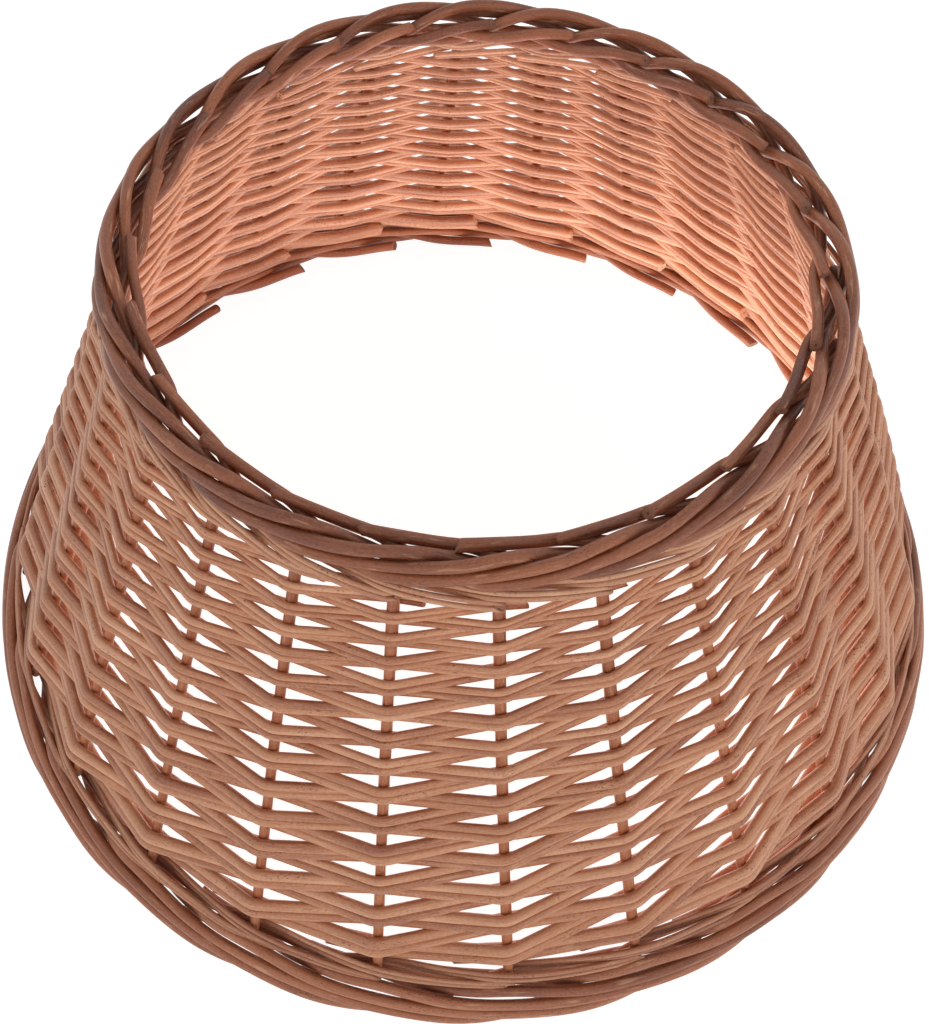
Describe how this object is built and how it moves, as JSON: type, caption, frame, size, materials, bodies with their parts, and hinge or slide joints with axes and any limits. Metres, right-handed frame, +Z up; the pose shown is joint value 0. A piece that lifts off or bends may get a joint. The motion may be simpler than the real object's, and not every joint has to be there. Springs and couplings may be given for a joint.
{
  "type": "christmas tree collar",
  "caption": "Open woven willow ring with sloping sides that stands on the floor and hides a tree's stand or pot.",
  "frame": {"origin": "middle of the collar on the floor it stands on", "axes": "+Z up along the collar's axis, from the wide foot to the narrow rim; -Y is the side towards the viewer"},
  "size_m": [0.5968, 0.5968, 0.3191],
  "materials": {
    "stake_willow": "satin",
    "weaver_willow": "satin",
    "wale_willow": "satin"
  },
  "bodies": {
    "root": {"stake_01": "stake_willow", "stake_02": "stake_willow", "stake_03": "stake_willow", "stake_04": "stake_willow", "stake_05": "stake_willow", "stake_06": "stake_willow", "stake_07": "stake_willow", "stake_08": "stake_willow", "stake_09": "stake_willow", "stake_10": "stake_willow", "stake_11": "stake_willow", "stake_12": "stake_willow", "stake_13": "stake_willow", "stake_14": "stake_willow", "stake_15": "stake_willow", "stake_16": "stake_willow", "stake_17": "stake_willow", "stake_18": "stake_willow", "stake_19": "stake_willow", "stake_20": "stake_willow", "stake_21": "stake_willow", "stake_22": "stake_willow", "stake_23": "stake_willow", "stake_24": "stake_willow", "foot_wale_rod_01": "wale_willow", "foot_wale_rod_02": "wale_willow", "foot_wale_rod_03": "wale_willow", "weaver_pair_01": "weaver_willow", "weaver_pair_02": "weaver_willow", "weaver_pair_03": "weaver_willow", "weaver_pair_04": "weaver_willow", "weaver_pair_05": "weaver_willow", "weaver_pair_06": "weaver_willow", "weaver_pair_07": "weaver_willow", "weaver_pair_08": "weaver_willow", "weaver_pair_09": "weaver_willow", "weaver_pair_10": "weaver_willow", "weaver_pair_11": "weaver_willow", "weaver_pair_12": "weaver_willow", "weaver_pair_13": "weaver_willow", "weaver_pair_14": "weaver_willow", "weaver_pair_15": "weaver_willow", "weaver_pair_16": "weaver_willow", "weaver_pair_17": "weaver_willow", "weaver_pair_18": "weaver_willow", "weaver_pair_19": "weaver_willow", "weaver_pair_20": "weaver_willow", "weaver_pair_21": "weaver_willow", "weaver_pair_22": "weaver_willow", "weaver_pair_23": "weaver_willow", "weaver_pair_24": "weaver_willow", "rim_wale_rod_01": "wale_willow", "rim_wale_rod_02": "wale_willow", "rim_wale_rod_03": "wale_willow"}
  },
  "joints": []
}
